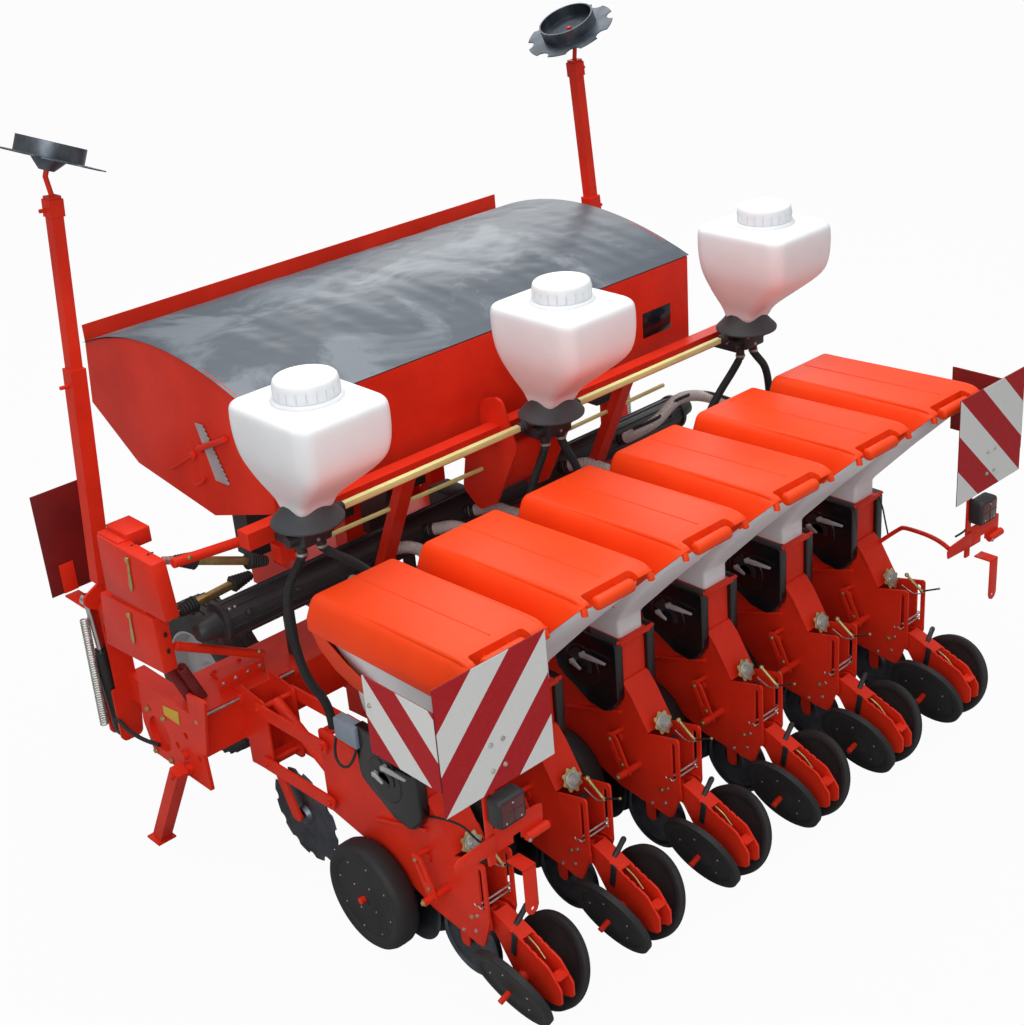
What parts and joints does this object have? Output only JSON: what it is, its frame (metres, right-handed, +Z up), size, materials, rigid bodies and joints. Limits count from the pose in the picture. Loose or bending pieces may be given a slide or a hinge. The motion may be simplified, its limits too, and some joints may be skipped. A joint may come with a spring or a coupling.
{
  "type": "precision planter",
  "caption": "Mounted precision planter: row units with seed hoppers and press wheels behind a covered fertiliser hopper, side markers upright.",
  "frame": {"origin": "on the ground, under the middle of the machine's bounding box", "axes": "+X to the right as seen from behind, +Y forwards to the tractor, +Z up"},
  "size_m": [2.968, 2.724, 2.6424],
  "materials": {
    "red_paint": "gloss orange-red powder coat",
    "black_paint": "satin black paint",
    "zinc_steel": "yellow zinc plating",
    "bright_steel": "bare rolled steel",
    "chrome_rod": "ground and chromed",
    "white_plastic": "translucent natural polyethylene",
    "orange_plastic": "moulded orange-red plastic",
    "black_plastic": "moulded black plastic",
    "tarpaulin": "dark blue-grey coated fabric with a soft sheen",
    "black_rubber": "smooth moulded rubber",
    "tyre": "matte ribbed tyre on a red rim",
    "hose_rubber": "ribbed flexible hose",
    "board_red": "red and white retroreflective stripes"
  },
  "bodies": {
    "base": {"main_frame": "red_paint", "hopper": "red_paint", "hopper_cover": "tarpaulin", "dosers_and_fan": "black_plastic", "air_manifold": "black_plastic", "granule_tanks": "white_plastic", "granule_meters": "black_plastic", "granule_beam": "red_paint", "drive_shafts": "zinc_steel", "gear_cases": "red_paint", "row_frames": "red_paint", "row_linkages": "red_paint", "metering_units": "black_plastic", "seed_hoppers": "white_plastic", "closing_arms": "red_paint", "opener_discs": "bright_steel", "warning_boards": "board_red", "hoses": "hose_rubber"},
    "gauge_wheels_1": {"gauge_wheels_1": "black_rubber"},
    "press_wheel_left_1": {"press_wheel_left_1": "black_rubber"},
    "press_wheel_right_1": {"press_wheel_right_1": "black_rubber"},
    "coulter_disc_1": {"coulter_disc_1": "bright_steel"},
    "lid_1": {"lid_1": "orange_plastic"},
    "gauge_wheels_2": {"gauge_wheels_2": "black_rubber"},
    "press_wheel_left_2": {"press_wheel_left_2": "black_rubber"},
    "press_wheel_right_2": {"press_wheel_right_2": "black_rubber"},
    "coulter_disc_2": {"coulter_disc_2": "bright_steel"},
    "lid_2": {"lid_2": "orange_plastic"},
    "gauge_wheels_3": {"gauge_wheels_3": "black_rubber"},
    "press_wheel_left_3": {"press_wheel_left_3": "black_rubber"},
    "press_wheel_right_3": {"press_wheel_right_3": "black_rubber"},
    "coulter_disc_3": {"coulter_disc_3": "bright_steel"},
    "lid_3": {"lid_3": "orange_plastic"},
    "gauge_wheels_4": {"gauge_wheels_4": "black_rubber"},
    "press_wheel_left_4": {"press_wheel_left_4": "black_rubber"},
    "press_wheel_right_4": {"press_wheel_right_4": "black_rubber"},
    "coulter_disc_4": {"coulter_disc_4": "bright_steel"},
    "lid_4": {"lid_4": "orange_plastic"},
    "gauge_wheels_5": {"gauge_wheels_5": "black_rubber"},
    "press_wheel_left_5": {"press_wheel_left_5": "black_rubber"},
    "press_wheel_right_5": {"press_wheel_right_5": "black_rubber"},
    "coulter_disc_5": {"coulter_disc_5": "bright_steel"},
    "lid_5": {"lid_5": "orange_plastic"},
    "gauge_wheels_6": {"gauge_wheels_6": "black_rubber"},
    "press_wheel_left_6": {"press_wheel_left_6": "black_rubber"},
    "press_wheel_right_6": {"press_wheel_right_6": "black_rubber"},
    "coulter_disc_6": {"coulter_disc_6": "bright_steel"},
    "lid_6": {"lid_6": "orange_plastic"},
    "carrier_wheel_left": {"carrier_wheel_left": "tyre"},
    "parking_stand_left": {"parking_stand_left": "red_paint"},
    "marker_arm_left": {"marker_arm_left": "red_paint"},
    "marker_disc_left": {"marker_disc_left": "bright_steel"},
    "marker_barrel_left": {"marker_barrel_left": "black_paint"},
    "marker_rod_left": {"marker_rod_left": "chrome_rod"},
    "carrier_wheel_right": {"carrier_wheel_right": "tyre"},
    "parking_stand_right": {"parking_stand_right": "red_paint"},
    "marker_arm_right": {"marker_arm_right": "red_paint"},
    "marker_disc_right": {"marker_disc_right": "bright_steel"},
    "marker_barrel_right": {"marker_barrel_right": "black_paint"},
    "marker_rod_right": {"marker_rod_right": "chrome_rod"}
  },
  "joints": [
    {"name": "gauge_wheels_1_spin", "type": "hinge", "parent": "base", "child": "gauge_wheels_1", "pos_m": [-1.125, -0.55, 0.2], "axis": [1, 0, 0], "continuous": true},
    {"name": "press_wheel_left_1_spin", "type": "hinge", "parent": "base", "child": "press_wheel_left_1", "pos_m": [-1.21, -1.2, 0.1548], "axis": [0.9397, 0, 0.342], "continuous": true},
    {"name": "press_wheel_right_1_spin", "type": "hinge", "parent": "base", "child": "press_wheel_right_1", "pos_m": [-1.04, -1.2, 0.1548], "axis": [0.9397, 0, -0.342], "continuous": true},
    {"name": "coulter_disc_1_spin", "type": "hinge", "parent": "base", "child": "coulter_disc_1", "pos_m": [-1.125, 0, 0.192], "axis": [1, 0, 0], "continuous": true},
    {"name": "lid_1_hinge", "type": "hinge", "parent": "base", "child": "lid_1", "pos_m": [-1.125, -0.498, 1.24], "axis": [-1, 0, 0], "range_deg": [0, 65]},
    {"name": "gauge_wheels_2_spin", "type": "hinge", "parent": "base", "child": "gauge_wheels_2", "pos_m": [-0.675, -0.55, 0.2], "axis": [1, 0, 0], "continuous": true},
    {"name": "press_wheel_left_2_spin", "type": "hinge", "parent": "base", "child": "press_wheel_left_2", "pos_m": [-0.76, -1.2, 0.1548], "axis": [0.9397, 0, 0.342], "continuous": true},
    {"name": "press_wheel_right_2_spin", "type": "hinge", "parent": "base", "child": "press_wheel_right_2", "pos_m": [-0.59, -1.2, 0.1548], "axis": [0.9397, 0, -0.342], "continuous": true},
    {"name": "coulter_disc_2_spin", "type": "hinge", "parent": "base", "child": "coulter_disc_2", "pos_m": [-0.675, 0, 0.192], "axis": [1, 0, 0], "continuous": true},
    {"name": "lid_2_hinge", "type": "hinge", "parent": "base", "child": "lid_2", "pos_m": [-0.675, -0.498, 1.24], "axis": [-1, 0, 0], "range_deg": [0, 65]},
    {"name": "gauge_wheels_3_spin", "type": "hinge", "parent": "base", "child": "gauge_wheels_3", "pos_m": [-0.225, -0.55, 0.2], "axis": [1, 0, 0], "continuous": true},
    {"name": "press_wheel_left_3_spin", "type": "hinge", "parent": "base", "child": "press_wheel_left_3", "pos_m": [-0.31, -1.2, 0.1548], "axis": [0.9397, 0, 0.342], "continuous": true},
    {"name": "press_wheel_right_3_spin", "type": "hinge", "parent": "base", "child": "press_wheel_right_3", "pos_m": [-0.14, -1.2, 0.1548], "axis": [0.9397, 0, -0.342], "continuous": true},
    {"name": "coulter_disc_3_spin", "type": "hinge", "parent": "base", "child": "coulter_disc_3", "pos_m": [-0.225, 0, 0.192], "axis": [1, 0, 0], "continuous": true},
    {"name": "lid_3_hinge", "type": "hinge", "parent": "base", "child": "lid_3", "pos_m": [-0.225, -0.498, 1.24], "axis": [-1, 0, 0], "range_deg": [0, 65]},
    {"name": "gauge_wheels_4_spin", "type": "hinge", "parent": "base", "child": "gauge_wheels_4", "pos_m": [0.225, -0.55, 0.2], "axis": [1, 0, 0], "continuous": true},
    {"name": "press_wheel_left_4_spin", "type": "hinge", "parent": "base", "child": "press_wheel_left_4", "pos_m": [0.14, -1.2, 0.1548], "axis": [0.9397, 0, 0.342], "continuous": true},
    {"name": "press_wheel_right_4_spin", "type": "hinge", "parent": "base", "child": "press_wheel_right_4", "pos_m": [0.31, -1.2, 0.1548], "axis": [0.9397, 0, -0.342], "continuous": true},
    {"name": "coulter_disc_4_spin", "type": "hinge", "parent": "base", "child": "coulter_disc_4", "pos_m": [0.225, 0, 0.192], "axis": [1, 0, 0], "continuous": true},
    {"name": "lid_4_hinge", "type": "hinge", "parent": "base", "child": "lid_4", "pos_m": [0.225, -0.498, 1.24], "axis": [-1, 0, 0], "range_deg": [0, 65]},
    {"name": "gauge_wheels_5_spin", "type": "hinge", "parent": "base", "child": "gauge_wheels_5", "pos_m": [0.675, -0.55, 0.2], "axis": [1, 0, 0], "continuous": true},
    {"name": "press_wheel_left_5_spin", "type": "hinge", "parent": "base", "child": "press_wheel_left_5", "pos_m": [0.59, -1.2, 0.1548], "axis": [0.9397, 0, 0.342], "continuous": true},
    {"name": "press_wheel_right_5_spin", "type": "hinge", "parent": "base", "child": "press_wheel_right_5", "pos_m": [0.76, -1.2, 0.1548], "axis": [0.9397, 0, -0.342], "continuous": true},
    {"name": "coulter_disc_5_spin", "type": "hinge", "parent": "base", "child": "coulter_disc_5", "pos_m": [0.675, 0, 0.192], "axis": [1, 0, 0], "continuous": true},
    {"name": "lid_5_hinge", "type": "hinge", "parent": "base", "child": "lid_5", "pos_m": [0.675, -0.498, 1.24], "axis": [-1, 0, 0], "range_deg": [0, 65]},
    {"name": "gauge_wheels_6_spin", "type": "hinge", "parent": "base", "child": "gauge_wheels_6", "pos_m": [1.125, -0.55, 0.2], "axis": [1, 0, 0], "continuous": true},
    {"name": "press_wheel_left_6_spin", "type": "hinge", "parent": "base", "child": "press_wheel_left_6", "pos_m": [1.04, -1.2, 0.1548], "axis": [0.9397, 0, 0.342], "continuous": true},
    {"name": "press_wheel_right_6_spin", "type": "hinge", "parent": "base", "child": "press_wheel_right_6", "pos_m": [1.21, -1.2, 0.1548], "axis": [0.9397, 0, -0.342], "continuous": true},
    {"name": "coulter_disc_6_spin", "type": "hinge", "parent": "base", "child": "coulter_disc_6", "pos_m": [1.125, 0, 0.192], "axis": [1, 0, 0], "continuous": true},
    {"name": "lid_6_hinge", "type": "hinge", "parent": "base", "child": "lid_6", "pos_m": [1.125, -0.498, 1.24], "axis": [-1, 0, 0], "range_deg": [0, 65]},
    {"name": "carrier_wheel_left_spin", "type": "hinge", "parent": "base", "child": "carrier_wheel_left", "pos_m": [-0.895, 0.9, 0.33], "axis": [1, 0, 0], "continuous": true},
    {"name": "parking_stand_left_swing", "type": "hinge", "parent": "base", "child": "parking_stand_left", "pos_m": [-1.445, 0.3, 0.404], "axis": [-1, 0, 0], "range_deg": [0, 118]},
    {"name": "marker_arm_left_fold", "type": "hinge", "parent": "base", "child": "marker_arm_left", "pos_m": [-1.365, 0.78, 0.9], "axis": [0, -1, 0], "range_deg": [0, 115]},
    {"name": "marker_disc_left_spin", "type": "hinge", "parent": "marker_arm_left", "child": "marker_disc_left", "pos_m": [-1.22669, 0.78, 2.5442], "axis": [0.4067, 0, 0.9135], "continuous": true},
    {"name": "marker_barrel_left_swing", "type": "hinge", "parent": "base", "child": "marker_barrel_left", "pos_m": [-1.4, 0.78, 0.37], "axis": [0, -1, 0], "range_deg": [-3, 3]},
    {"name": "marker_rod_left_slide", "type": "slide", "parent": "marker_barrel_left", "child": "marker_rod_left", "axis": [-0.0536, 0, 0.9986], "range_m": [-0.134, 0]},
    {"name": "carrier_wheel_right_spin", "type": "hinge", "parent": "base", "child": "carrier_wheel_right", "pos_m": [0.895, 0.9, 0.33], "axis": [1, 0, 0], "continuous": true},
    {"name": "parking_stand_right_swing", "type": "hinge", "parent": "base", "child": "parking_stand_right", "pos_m": [1.445, 0.3, 0.404], "axis": [-1, 0, 0], "range_deg": [0, 118]},
    {"name": "marker_arm_right_fold", "type": "hinge", "parent": "base", "child": "marker_arm_right", "pos_m": [1.365, 0.78, 0.9], "axis": [0, 1, 0], "range_deg": [0, 115]},
    {"name": "marker_disc_right_spin", "type": "hinge", "parent": "marker_arm_right", "child": "marker_disc_right", "pos_m": [1.22669, 0.78, 2.5442], "axis": [-0.4067, 0, 0.9135], "continuous": true},
    {"name": "marker_barrel_right_swing", "type": "hinge", "parent": "base", "child": "marker_barrel_right", "pos_m": [1.4, 0.78, 0.37], "axis": [0, 1, 0], "range_deg": [-3, 3]},
    {"name": "marker_rod_right_slide", "type": "slide", "parent": "marker_barrel_right", "child": "marker_rod_right", "axis": [0.0536, 0, 0.9986], "range_m": [-0.134, 0]}
  ],
  "couplings": [
    {"joint": "marker_barrel_left_swing", "follows": "marker_arm_left_fold", "ratio": -0.01304},
    {"joint": "marker_rod_left_slide", "follows": "marker_arm_left_fold", "m_per_rad": -0.0659},
    {"joint": "marker_barrel_right_swing", "follows": "marker_arm_right_fold", "ratio": -0.01304},
    {"joint": "marker_rod_right_slide", "follows": "marker_arm_right_fold", "m_per_rad": -0.0659}
  ]
}
